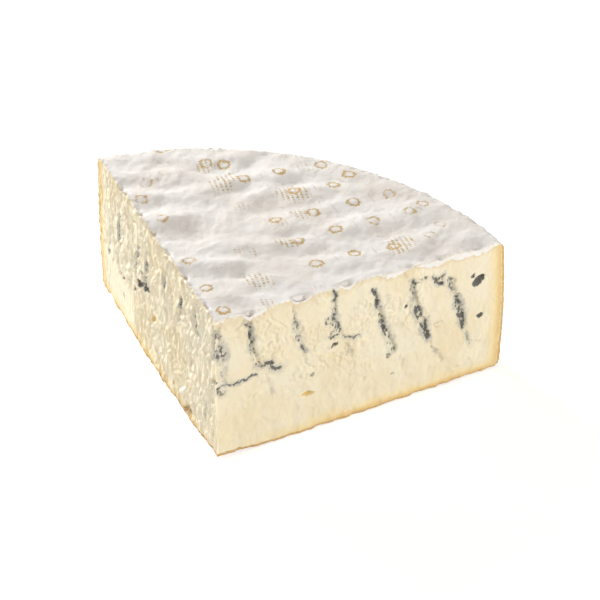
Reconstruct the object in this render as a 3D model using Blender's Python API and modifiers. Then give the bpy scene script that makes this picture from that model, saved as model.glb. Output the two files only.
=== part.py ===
"""A quarter wedge of a white-mould blue cheese wheel, as one solid.

The wheel is turned from its profile. Its top is pressed into soft folds and lumps, and its
base turns up at the middle and at the rim. Two knife cuts that meet at the wheel's centre
take the wedge out of it, and a torn notch is broken out of the left cut face's lower edge.

Metres, +Z up. The wedge stands on the flat part of its base. +Y runs from the tip to the
rind, and the origin is below the centre of the wedge's bounding box.
"""
import math

import bmesh
import bpy
from mathutils import Matrix, Vector, noise

# ---- Driving dimensions -------------------------------------------------------------------
WHEEL_RADIUS = 0.1132
THICKNESS = 0.0564
SECTOR = math.radians(83.4)

SHOULDER_RADIUS = 0.0042      # rounded edge between the top and the side
FOOT_RADIUS = 0.0034          # rounded edge between the side and the base
SIDE_BULGE = 0.0008           # how far the side swells past a straight wall
ARC_STEPS = 5                 # segments in each rounded edge
SIDE_STEPS = 8                # segments up the side
TOP_RINGS = 26                # segments from the axis to the shoulder
TURN_STEPS = 150              # segments round the whole wheel
RIM_SWELL = 0.0011            # how far the rim swells out midway between the two cuts

# The top isn't level: it rises towards the left rim, and sinks a little from the tip out.
TOP_SLOPE_X = -0.0360
TOP_SLOPE_Y = -0.0110

# The base turns up under the tip and under the rim, and more at the left rim.
TIP_RISE = 0.0017
TIP_RISE_WIDTH = 0.022
RIM_RISE = 0.0021
RIM_RISE_SLOPE_X = -0.020
RIM_RISE_START = 0.064
BASE_RINGS = 22               # segments across the base

LUMP_HEIGHT = 0.00055         # small lumps between the folds
LUMP_SPACING = 0.013
RELIEF_FADE = 0.006           # the folds die out over this width before the shoulder

# Folds pressed into the top: each is a bank that drops away from a crest into a hollow.
# x and y of the bank's middle, with y measured from the tip, then the bank's half length,
# its half width, its height, and the turn of its length from +X in degrees.
FOLDS = (
    (-0.034, 0.047, 0.0085, 0.0055, 0.0019, 25),
    (-0.011, 0.076, 0.0080, 0.0060, 0.0017, 40),
    (-0.046, 0.077, 0.0090, 0.0042, 0.0012, 8),
    (-0.062, 0.082, 0.0060, 0.0040, 0.0009, 20),
    (-0.054, 0.066, 0.0070, 0.0036, 0.0010, 18),
    (-0.036, 0.065, 0.0080, 0.0036, 0.0010, 28),
    (-0.027, 0.078, 0.0060, 0.0045, 0.0012, 48),
    (-0.028, 0.100, 0.0060, 0.0040, 0.0010, 50),
    (-0.002, 0.101, 0.0080, 0.0045, 0.0010, 30),
    (0.006, 0.060, 0.0090, 0.0040, 0.0010, 25),
    (0.014, 0.051, 0.0070, 0.0042, 0.0010, 60),
    (-0.016, 0.026, 0.0070, 0.0042, 0.0011, 20),
    (-0.006, 0.036, 0.0070, 0.0040, 0.0008, 55),
    (0.007, 0.026, 0.0070, 0.0038, 0.0009, 30),
    (0.029, 0.073, 0.0080, 0.0045, 0.0010, 65),
    (0.018, 0.082, 0.0070, 0.0040, 0.0008, 25),
    (0.044, 0.083, 0.0080, 0.0042, 0.0008, 30),
    (0.057, 0.074, 0.0060, 0.0040, 0.0009, 35),
    (-0.047, 0.092, 0.0070, 0.0038, 0.0009, 15),
    (0.021, 0.097, 0.0080, 0.0040, 0.0007, 20),
)

# The torn notch, in the left cut face: distance from the tip, width, height and depth.
NOTCH_FROM_TIP = 0.0305
NOTCH_WIDTH = 0.0135
NOTCH_HEIGHT = 0.0085
NOTCH_DEPTH = 0.0050
NOTCH_TILT = math.radians(24)
NOTCH_ROUGHNESS = 0.10

# The knife's two blades reach past the wheel by this much.
CUTTER_MARGIN = 0.02

RIND_COLOUR = (0.83, 0.79, 0.73, 1.0)
CHEESE_COLOUR = (0.80, 0.70, 0.47, 1.0)


def clear_scene():
    for old in list(bpy.data.objects):
        bpy.data.objects.remove(old)


def collection(name):
    made = bpy.data.collections.new(name)
    bpy.context.scene.collection.children.link(made)
    return made


def plain_material(name, colour, roughness):
    made = bpy.data.materials.new(name)
    made.use_nodes = True
    shader = made.node_tree.nodes["Principled BSDF"]
    shader.inputs["Base Color"].default_value = colour
    shader.inputs["Roughness"].default_value = roughness
    shader.inputs["Metallic"].default_value = 0.0
    return made


def wheel_profile():
    """(radius, height) points from the top's centre, out and down the side, to the base's centre."""
    flat_top = WHEEL_RADIUS - SHOULDER_RADIUS
    points = [(flat_top * i / TOP_RINGS, THICKNESS) for i in range(TOP_RINGS)]
    for i in range(ARC_STEPS + 1):
        turn = math.pi / 2 * i / ARC_STEPS
        points.append((flat_top + SHOULDER_RADIUS * math.sin(turn),
                       THICKNESS - SHOULDER_RADIUS * (1 - math.cos(turn))))
    side_top = THICKNESS - SHOULDER_RADIUS
    for i in range(1, SIDE_STEPS):
        share = i / SIDE_STEPS
        points.append((WHEEL_RADIUS + SIDE_BULGE * math.sin(math.pi * share),
                       side_top + (FOOT_RADIUS - side_top) * share))
    flat_base = WHEEL_RADIUS - FOOT_RADIUS
    for i in range(ARC_STEPS + 1):
        turn = math.pi / 2 * i / ARC_STEPS
        points.append((flat_base + FOOT_RADIUS * math.cos(turn),
                       FOOT_RADIUS * (1 - math.sin(turn))))
    points += [(flat_base * (1 - i / BASE_RINGS), 0.0) for i in range(1, BASE_RINGS + 1)]
    return points


def turned_wheel(parts):
    """The whole wheel: its profile turned about Z."""
    profile = bpy.data.meshes.new("wheel_profile")
    points = wheel_profile()
    edges = [(i, i + 1) for i in range(len(points) - 1)]
    profile.from_pydata([(r, 0, z) for r, z in points], edges, [])
    turned = bpy.data.objects.new("turned_profile", profile)
    parts.objects.link(turned)
    screw = turned.modifiers.new("Turn", "SCREW")
    screw.axis = "Z"
    screw.steps = TURN_STEPS
    screw.render_steps = TURN_STEPS
    screw.use_merge_vertices = True
    screw.merge_threshold = 0.00005
    graph = bpy.context.evaluated_depsgraph_get()
    mesh = bpy.data.meshes.new_from_object(turned.evaluated_get(graph))
    bpy.data.objects.remove(turned)
    return mesh


def fold_height(x, y):
    """The folds and lumps of the top, above or below its mean level."""
    total = 0.0
    for centre_x, centre_y, half_length, half_width, height, turn in FOLDS:
        cos_t = math.cos(math.radians(turn))
        sin_t = math.sin(math.radians(turn))
        along = ((x - centre_x) * cos_t + (y - centre_y) * sin_t) / half_length
        across = (-(x - centre_x) * sin_t + (y - centre_y) * cos_t) / half_width
        total += height * across * math.exp(-(along * along + across * across) / 2)
    lump = noise.noise(Vector((x, y, 0.31)) / LUMP_SPACING)
    return total + LUMP_HEIGHT * lump


def smooth_step(value):
    value = max(0.0, min(1.0, value))
    return value * value * (3 - 2 * value)


def base_rise(x, y):
    """How far the base stands off the ground: nothing over its flat middle part."""
    radius = math.hypot(x, y)
    under_tip = 1 - smooth_step(radius / TIP_RISE_WIDTH)
    under_rim = smooth_step((radius - RIM_RISE_START) / (WHEEL_RADIUS - RIM_RISE_START))
    return TIP_RISE * under_tip + (RIM_RISE + RIM_RISE_SLOPE_X * x) * under_rim


def rim_swell(x, y):
    """The growth in radius, as a share of it: none at the cuts, most midway between them."""
    angle = math.atan2(x, y)
    return max(0.0, math.cos(math.pi * angle / SECTOR)) * RIM_SWELL / WHEEL_RADIUS


def shape_wheel(mesh):
    """Tilts and folds the top, turns up the base, and carries the side along in proportion."""
    flat_top = WHEEL_RADIUS - SHOULDER_RADIUS
    for vertex in mesh.vertices:
        x, y, z = vertex.co
        share = z / THICKNESS
        tilt = TOP_SLOPE_X * x + TOP_SLOPE_Y * y
        fade = smooth_step((flat_top - math.hypot(x, y)) / RELIEF_FADE)
        on_top = z > THICKNESS - SHOULDER_RADIUS / 2
        relief = fold_height(x, y) * fade if on_top else 0.0
        grown = 1 + rim_swell(x, y)
        vertex.co = (x * grown, y * grown,
                     z + tilt * share + base_rise(x, y) * (1 - share) + relief)


def sector_cutter(helpers):
    """A prism over the wedge's plan: two blades that meet on the wheel's axis."""
    half = SECTOR / 2
    reach = (WHEEL_RADIUS + CUTTER_MARGIN) / math.cos(half)
    plan = ((0, 0),
            (reach * math.sin(half), reach * math.cos(half)),
            (-reach * math.sin(half), reach * math.cos(half)))
    outline = bpy.data.curves.new("sector_outline", "CURVE")
    outline.dimensions = "2D"
    outline.fill_mode = "BOTH"
    outline.extrude = THICKNESS / 2 + CUTTER_MARGIN
    path = outline.splines.new("POLY")
    path.points.add(len(plan) - 1)
    for point, (x, y) in zip(path.points, plan):
        point.co = (x, y, 0, 1)
    path.use_cyclic_u = True

    drawn = bpy.data.objects.new("sector_outline", outline)
    helpers.objects.link(drawn)
    graph = bpy.context.evaluated_depsgraph_get()
    mesh = bpy.data.meshes.new_from_object(drawn.evaluated_get(graph))
    bpy.data.objects.remove(drawn)
    mesh.transform(Matrix.Translation((0, 0, THICKNESS / 2)))
    weld(mesh)
    return helper_object("sector_cutter", mesh, helpers)


def weld(mesh):
    """Joins a filled curve's caps to its walls."""
    shape = bmesh.new()
    shape.from_mesh(mesh)
    bmesh.ops.remove_doubles(shape, verts=shape.verts, dist=0.00001)
    bmesh.ops.recalc_face_normals(shape, faces=shape.faces)
    shape.to_mesh(mesh)
    shape.free()


def notch_cutter(helpers):
    """A rough lump that sits half in the left cut face, at its lower edge."""
    shape = bmesh.new()
    bmesh.ops.create_icosphere(shape, subdivisions=2, radius=1.0)
    for vertex in shape.verts:
        rough = noise.noise(vertex.co * 2.3)
        vertex.co *= 1 + NOTCH_ROUGHNESS * rough
    mesh = bpy.data.meshes.new("notch_cutter")
    shape.to_mesh(mesh)
    shape.free()
    turn = math.pi / 2 + SECTOR / 2
    along_face = Matrix.Rotation(turn, 4, "Z")
    size = Matrix.Diagonal((NOTCH_WIDTH / 2, NOTCH_DEPTH, NOTCH_HEIGHT, 1))
    lean = Matrix.Rotation(NOTCH_TILT, 4, "Y")
    place = Matrix.Translation((NOTCH_FROM_TIP, 0, 0))
    mesh.transform(along_face @ place @ lean @ size)
    return helper_object("notch_cutter", mesh, helpers)


def helper_object(name, mesh, helpers):
    made = bpy.data.objects.new(name, mesh)
    made.hide_render = True
    made.display_type = "WIRE"
    helpers.objects.link(made)
    return made


def cut(target, cutter, operation):
    boolean = target.modifiers.new(cutter.name, "BOOLEAN")
    boolean.operation = operation
    boolean.object = cutter
    boolean.solver = "EXACT"


def cheese_wedge(parts, helpers):
    wheel = turned_wheel(parts)
    shape_wheel(wheel)
    wheel.materials.append(plain_material("white_rind", RIND_COLOUR, 0.85))
    wheel.shade_smooth()
    wheel.set_sharp_from_angle(angle=math.radians(40))
    wedge = bpy.data.objects.new("cheese_wedge", wheel)
    parts.objects.link(wedge)

    sector = sector_cutter(helpers)
    sector.data.materials.clear()
    sector.data.materials.append(plain_material("blue_paste", CHEESE_COLOUR, 0.5))
    cut(wedge, sector, "INTERSECT")
    cut(wedge, notch_cutter(helpers), "DIFFERENCE")

    # The wheel's axis goes to the tip, so that the base's box is centred on the origin.
    tip_y = -(WHEEL_RADIUS + SIDE_BULGE + RIM_SWELL) / 2
    for piece in (wedge, *helpers.objects):
        piece.location.y = tip_y
    return wedge


def main():
    clear_scene()
    parts = collection("Blue cheese wedge")
    helpers = collection("Cutters")
    cheese_wedge(parts, helpers)


main()
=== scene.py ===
"""The looks of the blue cheese wedge: its veined paste and its white-mould rind.

The wedge is two closed pieces that meet just under the rind. "paste" has the two cut faces,
and "rind" has the top, side and base with their thin cut edges. Both are dense grids that
numpy shapes: soft folds, needle channels, cavities and torn curd are all in the meshes.
Vertex attributes say where mould, cavities and rind marks are, and the materials' nodes
colour them.

Inside this script lengths are millimetres with the wedge's tip at x = y = 0. +Y runs to the
rind. Meshes are scaled and moved into the frame when they are made.
"""
import math

import bmesh
import bpy
import numpy as np
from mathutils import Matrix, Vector


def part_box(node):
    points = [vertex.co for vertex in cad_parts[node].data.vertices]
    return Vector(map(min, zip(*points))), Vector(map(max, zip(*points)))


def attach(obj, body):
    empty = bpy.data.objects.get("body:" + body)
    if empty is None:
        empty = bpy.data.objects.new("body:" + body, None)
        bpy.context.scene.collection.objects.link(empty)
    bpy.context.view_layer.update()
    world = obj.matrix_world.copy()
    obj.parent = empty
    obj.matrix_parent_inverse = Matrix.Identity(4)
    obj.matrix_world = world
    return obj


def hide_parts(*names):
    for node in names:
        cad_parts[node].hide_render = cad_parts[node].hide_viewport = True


MM = 0.001

# ---- Sizes, worked out from the frame --------------------------------------------------
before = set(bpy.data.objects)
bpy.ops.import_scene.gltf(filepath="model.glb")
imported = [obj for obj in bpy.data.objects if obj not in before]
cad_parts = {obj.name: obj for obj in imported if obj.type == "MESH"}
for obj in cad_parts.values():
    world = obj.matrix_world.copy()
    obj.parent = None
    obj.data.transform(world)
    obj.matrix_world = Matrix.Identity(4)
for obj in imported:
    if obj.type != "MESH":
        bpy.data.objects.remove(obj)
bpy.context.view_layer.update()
low, high = (np.array(corner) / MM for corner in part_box("cheese_wedge"))

SIDE_BULGE = 0.8
RIM_SWELL = 1.1
RADIUS = high[1] - low[1] - SIDE_BULGE - RIM_SWELL
HALF_ANGLE = math.asin(high[0] / (RADIUS + SIDE_BULGE))
LEVEL = 0.967 * high[2]            # the top's mean height at the tip
TIP = np.array([0.0, low[1], 0.0]) * MM

SHOULDER = 4.2
FOOT = 3.4
TOP_SLOPE = (-0.0360, -0.0110)
TIP_RISE = 1.7
TIP_RISE_WIDTH = 22.0
RIM_RISE = 2.1
RIM_RISE_SLOPE = -0.020
RIM_RISE_START = 64.0

RIND_THICKNESS = 0.9
RAGGED_INSET = 0.35                # keeps the ragged surface inside the solid's box
EDGE_FADE = 2.0                    # how far in from its border an edge's raggedness reaches
PULL_REACH = 1.4                   # how far along the rind's skin the cut's raggedness reaches

# ---- Mesh density ------------------------------------------------------------------------
RIGHT_COLUMNS = 280
LEFT_COLUMNS = 262
FACE_ROWS = 140
BAND_CELLS = 3                     # cells across the rind's cut edge
TOP_CELLS = 216                    # cells along each cut on the top
SIDE_COLUMNS = 240
SIDE_ROWS = 64
BASE_CELLS = 70
HIDDEN_CELLS = 60
HIDDEN_DROP = 2.2                  # how far the hidden faces lie under the rind's skin
HIDDEN_INSET = 4.0                 # and how far in from the cuts and the rim

RIGHT, LEFT = 1, -1


# ---- Noise ------------------------------------------------------------------------------
class Noise:
    """Seeded gradient noise in three dimensions, about -1 to 1."""

    SIZE = 48

    def __init__(self, seed):
        draw = np.random.default_rng(seed)
        slopes = draw.normal(size=(self.SIZE, self.SIZE, self.SIZE, 3))
        self.slopes = slopes / np.linalg.norm(slopes, axis=-1, keepdims=True)

    def __call__(self, x, y, z=0.0):
        x, y, z = np.broadcast_arrays(x, y, z)
        place = np.stack([x, y, z], -1)
        cell = np.floor(place).astype(int)
        inside = place - cell
        blend = inside ** 3 * (inside * (inside * 6 - 15) + 10)
        total = np.zeros(x.shape)
        for corner in np.ndindex(2, 2, 2):
            step = np.array(corner)
            at = (cell + step) % self.SIZE
            slope = self.slopes[at[..., 0], at[..., 1], at[..., 2]]
            share = np.prod(np.where(step == 1, blend, 1 - blend), axis=-1)
            total += share * np.sum(slope * (inside - step), axis=-1)
        return total * 1.6


NOISE = Noise(11)
OTHER_NOISE = Noise(29)


def layered(x, y, z=0.0, layers=3, gain=0.5, noise=NOISE):
    """Several octaves of noise, from coarse to fine."""
    total = 0.0
    strength = 1.0
    for layer in range(layers):
        scale = 2.03 ** layer
        total = total + strength * noise(x * scale + 7.3 * layer, y * scale, z * scale + 3.1 * layer)
        strength *= gain
    return total


def ridged(x, y, z=0.0, layers=3, noise=NOISE):
    """Noise folded into sharp crests, 0 to about 1."""
    total = 0.0
    strength = 0.6
    for layer in range(layers):
        scale = 2.1 ** layer
        crest = 1 - np.abs(noise(x * scale + 4.7 * layer, y * scale, z * scale))
        total = total + strength * crest ** 2
        strength *= 0.5
    return total


def step(low_edge, high_edge, value):
    """Smooth step from 0 at low_edge to 1 at high_edge."""
    share = np.clip((value - low_edge) / (high_edge - low_edge), 0, 1)
    return share * share * (3 - 2 * share)


# ---- The whole wheel's form -----------------------------------------------------------------
# Folds pressed into the top. Each is a bank that rises from its near side to its far side:
# its middle (x, y), half length, half width, height, and its length's turn from +X.
FOLDS = (
    (-31, 50, 7.5, 5.5, 3.4, 40),
    (-43, 45, 6.0, 4.0, 1.6, 45),
    (-11, 77, 7.5, 6.0, 3.0, 40),
    (-43, 78, 8.5, 5.0, 2.6, 18),
    (-57, 85, 6.5, 5.0, 2.0, 30),
    (-58, 73, 7.0, 4.0, 1.6, 30),
    (-35, 70, 7.5, 4.5, 1.8, 35),
    (-24, 77, 8.0, 4.4, 2.0, 65),
    (-19, 85, 4.5, 4.0, 1.9, 50),
    (-25, 102, 6.5, 4.5, 2.0, 60),
    (-6, 95, 5.5, 4.0, 2.1, 45),
    (-38, 91, 6.0, 4.5, 1.6, 40),
    (-47, 61, 6.0, 4.0, 1.6, 40),
    (4, 62, 6.5, 4.0, 2.0, 35),
    (11, 53, 8.5, 4.2, 2.1, 28),
    (30, 49, 7.0, 4.0, 1.2, 40),
    (-9, 30, 8.0, 4.5, 2.1, 30),
    (-20, 27, 5.0, 3.5, 1.2, 30),
    (-7, 44, 8.0, 4.0, 1.2, 30),
    (8, 27, 7.0, 4.2, 1.5, 30),
    (3, 15, 6.5, 4.0, 1.1, 20),
    (32, 74, 7.5, 5.0, 1.6, 55),
    (17, 83, 8.5, 4.0, 1.3, 35),
    (44, 86, 8.5, 5.0, 1.4, 45),
    (54, 77, 8.5, 3.8, 1.8, 70),
    (48, 63, 7.0, 4.0, 1.3, 25),
    (5, 86, 7.0, 4.0, 1.5, 45),
    (9, 103, 7.0, 4.0, 1.2, 20),
    (28, 99, 8.0, 4.5, 1.2, 25),
    (20, 66, 7.0, 3.6, 1.1, 35),
    (64, 78, 6.0, 4.0, 1.2, 50),
)


FOLD_SHARPNESS = 1.35


def bank(x, y, middle_x, middle_y, half_length, half_width, height, turn):
    cos_t = math.cos(math.radians(turn))
    sin_t = math.sin(math.radians(turn))
    along = ((x - middle_x) * cos_t + (y - middle_y) * sin_t) / half_length
    across = (-(x - middle_x) * sin_t + (y - middle_y) * cos_t) / half_width
    return height * across * np.exp(-((along ** 2 + across ** 2) / 2) ** FOLD_SHARPNESS)


def top_relief(x, y):
    total = sum(bank(x, y, *fold) for fold in FOLDS)
    total = 0.72 * total + 0.50 * layered(x / 13, y / 13, 0.4, 2)
    creases = ridged(x / 11 + 0.15 * y / 11, y / 16, 7.7, 2) - 0.45
    return total + 0.55 * creases


def top_height(x, y):
    """The top's level before its shoulder."""
    radius = np.hypot(x, y)
    fade = step(RADIUS, RADIUS - 11, radius)
    crumble = 0.55 * layered(x / 3.2, y / 3.2, 6.2, 3, 0.6) * step(RADIUS - 6, RADIUS - 1, radius)
    return LEVEL + TOP_SLOPE[0] * x + TOP_SLOPE[1] * y + top_relief(x, y) * fade + crumble


def base_height(x, y):
    """The base's height off the ground: nothing across its flat middle."""
    radius = np.hypot(x, y)
    under_tip = 1 - step(0, TIP_RISE_WIDTH, radius)
    under_rim = step(RIM_RISE_START, RADIUS, radius)
    return TIP_RISE * under_tip + (RIM_RISE + RIM_RISE_SLOPE * x) * under_rim


def rim_radius(angle):
    return RADIUS + RIM_SWELL * np.maximum(0, np.cos(math.pi * angle / (2 * HALF_ANGLE)))


def rind_point(share, angle, surface):
    """A point of the wheel's skin. On the top and base share runs from the axis to the middle
    of the rounded edge, and on the side from the shoulder's middle down to the foot's."""
    radius = rim_radius(angle)
    half_turn = math.sin(math.pi / 4)
    if surface == "top":
        reach = share * (radius - SHOULDER + SHOULDER * half_turn)
        past = np.maximum(0, reach - (radius - SHOULDER))
        x, y = reach * np.sin(angle), reach * np.cos(angle)
        drop = SHOULDER - np.sqrt(SHOULDER ** 2 - past ** 2)
        return np.stack([x, y, top_height(x, y) - drop], -1)
    if surface == "base":
        reach = share * (radius - FOOT + FOOT * half_turn)
        past = np.maximum(0, reach - (radius - FOOT))
        x, y = reach * np.sin(angle), reach * np.cos(angle)
        rise = FOOT - np.sqrt(FOOT ** 2 - past ** 2)
        return np.stack([x, y, base_height(x, y) + rise], -1)
    edge_share = 0.07
    shoulder_turn = math.pi / 4 * (1 - np.clip(share / edge_share, 0, 1))
    foot_turn = math.pi / 4 * np.clip((share - 1 + edge_share) / edge_share, 0, 1)
    wall = np.clip((share - edge_share) / (1 - 2 * edge_share), 0, 1)
    x, y = radius * np.sin(angle), radius * np.cos(angle)
    upper = top_height(x, y) - SHOULDER * (1 - np.sin(shoulder_turn))
    lower = base_height(x, y) + FOOT * (1 - np.sin(foot_turn))
    out = (SHOULDER * (np.cos(shoulder_turn) - 1) + FOOT * (np.cos(foot_turn) - 1)
           + SIDE_BULGE * np.sin(math.pi * wall))
    reach = radius + out
    z = upper + (lower - upper) * wall
    return np.stack([reach * np.sin(angle), reach * np.cos(angle), z], -1)


# ---- The cut faces ----------------------------------------------------------------------------
# Needle tracks in the right cut face, each from top to bottom as (distance from the tip,
# height, half width), with its darkness and its channel's depth.
TRACKS = {
    RIGHT: (
        (((0.8, 53, 1.1), (1.2, 47, 1.4), (2.6, 42, 1.8)), 0.95, 0.7),
        (((2.4, 41, 1.5), (3.2, 36, 1.3), (3.8, 30, 1.2)), 0.4, 0.6),
        (((12.6, 52, 1.0), (13.6, 47, 0.9), (14.2, 41, 1.0), (15.6, 37, 1.1),
          (17.2, 33, 1.3)), 0.9, 0.9),
        (((19.0, 29, 0.6), (20.4, 24, 0.8), (21.4, 21, 0.9)), 0.22, 0.5),
        (((29.8, 52, 0.8), (30.6, 46, 0.9), (31.6, 40.5, 1.2), (33.0, 36, 0.9),
          (34.4, 33, 0.7)), 0.55, 0.6),
        (((45.8, 54, 0.7), (46.0, 48, 0.9), (45.6, 43, 1.1), (47.2, 38, 1.0),
          (49.2, 34, 0.8)), 0.75, 0.8),
        (((50.6, 31, 0.6), (51.6, 27, 0.8), (52.8, 23, 0.8)), 0.2, 0.5),
        (((61.2, 49, 0.8), (62.0, 44, 1.1), (63.4, 39, 1.1), (65.2, 33, 1.0),
          (67.6, 27.5, 1.2), (69.4, 22, 1.1)), 0.85, 1.0),
        (((71.6, 18, 0.5), (73.4, 13, 0.8)), 0.18, 0.4),
        (((76.4, 47, 0.9), (77.0, 42, 0.9), (78.0, 37, 1.3), (79.6, 32, 1.4),
          (81.6, 27, 1.4), (83.0, 22.5, 1.0)), 1.0, 1.1),
        (((83.6, 20, 0.5), (85.2, 17, 0.7), (88.6, 11, 0.9)), 0.3, 0.6),
        (((91.6, 44, 0.8), (92.2, 41, 1.2), (93.8, 37, 1.0)), 0.65, 0.8),
        (((94.4, 35, 1.0), (95.8, 29.5, 1.3), (97.6, 22, 1.0)), 1.0, 1.1),
        (((98.0, 20, 0.7), (99.6, 16, 0.8), (101.6, 13, 0.9), (103.6, 13.4, 0.8)), 0.4, 0.5),
    ),
    LEFT: (
        (((17.5, 51, 0.8), (19.5, 46, 1.2), (17.0, 41, 1.6)), 0.6, 0.7),
        (((31.8, 46, 0.9), (33.0, 41, 1.2), (35.0, 36, 1.1)), 0.7, 0.8),
        (((47.0, 48, 0.9), (48.0, 42, 1.3), (49.0, 38, 1.0)), 0.65, 0.8),
        (((63.5, 46, 0.9), (65.0, 41, 1.3), (66.0, 35, 1.0), (67.0, 30, 1.4)), 0.75, 0.9),
        (((73.0, 42, 0.8), (75.0, 37, 1.2), (76.5, 31, 0.9)), 0.65, 0.8),
        (((87.5, 41, 0.7), (88.5, 37, 0.8)), 0.3, 0.5),
        (((91.0, 45, 0.7), (93.0, 37, 1.0), (92.5, 33, 0.6)), 0.6, 0.8),
        (((22.5, 33, 0.6), (24.0, 22, 0.9)), 0.3, 0.5),
        (((10.5, 18, 0.8), (11.2, 12, 0.8)), 0.45, 0.7),
        (((0.8, 52, 1.0), (1.5, 45, 1.2), (3.0, 40, 1.0)), 0.6, 0.7),
    ),
}

# Side branches and cracks of the mould: polyline points, half width, darkness.
BRANCHES = {
    RIGHT: (
        (((-1, 29), (4, 29.5), (9, 29.2), (13, 29.4), (16, 30)), 0.55, 0.85),
        (((0, 30), (1.2, 27), (3.4, 26.5)), 0.9, 0.55),
        (((17.5, 33), (20.4, 33.4), (21.6, 31), (22.8, 29.8), (25.0, 29.6)), 0.9, 0.75),
        (((45, 43.6), (43, 43.2), (42.4, 41), (44.4, 40.2), (46.6, 41)), 0.45, 0.55),
        (((48, 36.4), (45.6, 37), (43.6, 36.2), (44.6, 34.6), (47, 35.2)), 0.5, 0.6),
        (((49, 34), (52, 33.2), (54, 32.6), (56.4, 32.6)), 0.5, 0.7),
        (((76.4, 46), (77.6, 46.2), (80, 47.4), (82, 47)), 0.4, 0.6),
        (((84.4, 46.6), (86.4, 45.4), (88, 44.8), (89, 46.4)), 0.55, 0.7),
        (((85, 45.8), (87, 43), (88.6, 43.2)), 0.7, 0.75),
        (((88.6, 41.4), (91, 39.8)), 0.3, 0.3),
        (((84.6, 26), (86.4, 27), (88.4, 27)), 0.5, 0.35),
        (((85.4, 25), (87.4, 24.6)), 0.4, 0.3),
        (((77.0, 40.5), (75.6, 41.5)), 0.4, 0.35),
        (((3, 47.6), (6, 47.6), (9, 46.6)), 0.35, 0.25),
        (((65.6, 45), (67, 44.8)), 0.35, 0.4),
    ),
    LEFT: (
        (((64, 29.5), (68, 30.5), (71, 28.5)), 0.9, 0.55),
        (((78, 22), (82, 23.5), (84, 22.5)), 0.7, 0.35),
        (((88, 20), (91, 19.5), (94, 21)), 0.9, 0.35),
        (((-2, 33), (2, 31), (5, 28)), 0.7, 0.55),
        (((89, 25), (92, 26)), 0.6, 0.3),
    ),
}

# Cavities: distance from the tip, height, half width, half height, turn, depth, then how
# dark with mould and how amber its wall is.
CAVITIES = {
    RIGHT: (
        (102.8, 39.0, 2.7, 1.7, 28, 1.7, 1.0, 0.0),
        (104.6, 40.0, 1.3, 1.5, 0, 2.2, 1.0, 0.0),
        (101.0, 41.8, 0.9, 0.9, 20, 0.9, 0.8, 0.0),
        (104.2, 24.4, 1.3, 1.1, -30, 1.5, 0.9, 0.0),
        (73.9, 38.2, 0.8, 0.8, 0, 1.2, 1.0, 0.0),
        (45.8, 31.6, 1.7, 0.75, 12, 1.4, 1.0, 0.0),
        (37.0, 22.8, 1.2, 1.1, -20, 0.7, 0.5, 0.0),
        (67.0, 20.0, 1.3, 1.2, 20, 0.7, 0.5, 0.0),
        (69.0, 11.8, 0.8, 0.7, 0, 0.6, 0.5, 0.0),
        (35.4, 15.2, 2.8, 1.0, -4, 2.2, 0.0, 1.0),
        (84.9, 17.4, 0.5, 0.8, 20, 1.2, 0.25, 0.8),
        (52.0, 22.4, 0.5, 0.7, 10, 0.9, 0.3, 0.6),
        (95.2, 6.2, 1.4, 0.3, 8, 0.7, 0.0, 0.9),
        (100.2, 7.6, 0.5, 0.4, 20, 0.6, 0.0, 0.9),
        (87.6, 43.0, 1.0, 0.7, 35, 0.9, 0.8, 0.0),
        (64.4, 8.0, 0.8, 0.4, 20, 0.4, 0.3, 0.0),
        (54.2, 14.4, 0.7, 0.4, 30, 0.4, 0.25, 0.0),
        (21.6, 32.6, 0.8, 1.0, 0, 0.7, 0.6, 0.0),
    ),
    LEFT: (
        (73.0, 27.2, 3.2, 1.7, -35, 1.8, 1.0, 0.0),
        (77.8, 22.6, 1.8, 1.0, -40, 0.9, 0.6, 0.0),
        (66.2, 29.0, 2.2, 1.0, -25, 0.9, 0.7, 0.0),
        (90.0, 19.4, 2.4, 0.8, -20, 0.6, 0.5, 0.0),
        (91.0, 25.0, 1.6, 0.7, -20, 0.6, 0.55, 0.0),
        (70.4, 33.6, 1.1, 0.7, -20, 1.1, 0.8, 0.0),
        (104.4, 22.6, 1.3, 1.7, 20, 0.9, 0.45, 0.0),
        (102.4, 27.4, 1.1, 0.8, 0, 0.7, 0.3, 0.0),
        (100.0, 20.8, 0.8, 0.5, -20, 0.7, 0.4, 0.0),
        (59.4, 21.0, 2.3, 1.3, -40, 1.9, 0.0, 1.0),
        (57.8, 14.8, 1.1, 1.0, -30, 1.3, 0.0, 0.8),
        (41.0, 6.2, 1.0, 0.8, -10, 1.0, 0.0, 0.9),
        (90.0, 12.0, 1.0, 1.0, 0, 0.9, 0.0, 0.7),
        (34.4, 29.0, 1.2, 1.3, 20, 1.2, 0.2, 0.6),
        (25.0, 17.6, 2.4, 0.9, -25, 1.7, 0.1, 0.7),
        (77.0, 50.6, 2.0, 1.4, 0, 1.3, 0.0, 0.6),
        (4.0, 30.4, 2.4, 0.8, -30, 1.3, 0.2, 0.7),
        (12.6, 36.6, 1.9, 0.8, -15, 1.2, 0.1, 0.5),
        (84.6, 31.0, 3.0, 4.0, 0, 0.9, 0.0, 0.15),
        (61.0, 34.0, 1.8, 6.0, 0, 1.0, 0.0, 0.15),
        (42.0, 43.5, 2.8, 4.0, 0, 0.9, 0.0, 0.2),
    ),
}

# Dips in the rind's edge where needles went in close to a cut: distance, depth, half width.
EDGE_DIPS = {
    RIGHT: ((13.4, 2.2, 1.6), (32.5, 2.4, 2.4), (50.5, 1.4, 1.8), (67.5, 0.9, 2.0),
            (75.5, 0.9, 1.4), (87.0, 1.2, 2.2), (103.0, 0.8, 3.0)),
    LEFT: ((10.0, 1.8, 2.6), (29.0, 1.6, 2.0), (44.0, 1.8, 2.4), (58.0, 1.2, 2.0),
           (71.0, 1.6, 1.8), (90.0, 1.2, 2.4)),
}

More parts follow.
